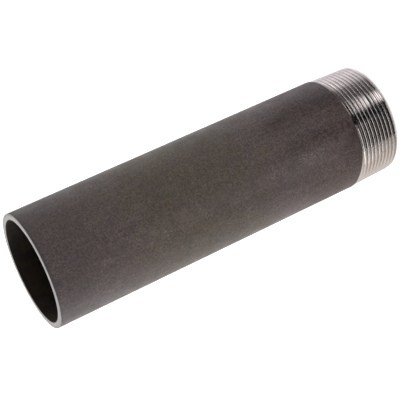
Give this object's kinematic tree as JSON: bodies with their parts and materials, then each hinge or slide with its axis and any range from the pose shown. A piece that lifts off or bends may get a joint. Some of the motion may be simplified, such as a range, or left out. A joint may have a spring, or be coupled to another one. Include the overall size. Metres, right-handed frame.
{
  "type": "weld nipple",
  "caption": "Steel weld nipple: a straight length of pipe with a tapered right-hand pipe thread on one end and a plain square-cut end for welding on the other.",
  "frame": {"origin": "on the tube's axis, in the end face of the thread, on which the nipple stands", "axes": "+Z along the tube's axis, from the thread's end face to the weld end; the part is round about Z, apart from where the thread starts"},
  "size_m": [0.0603, 0.0602, 0.2],
  "materials": {
    "steel": "dark mill scale on the tube, bright machined metal on the thread and the cut end"
  },
  "bodies": {
    "root": {"weld_nipple": "steel"}
  },
  "joints": []
}
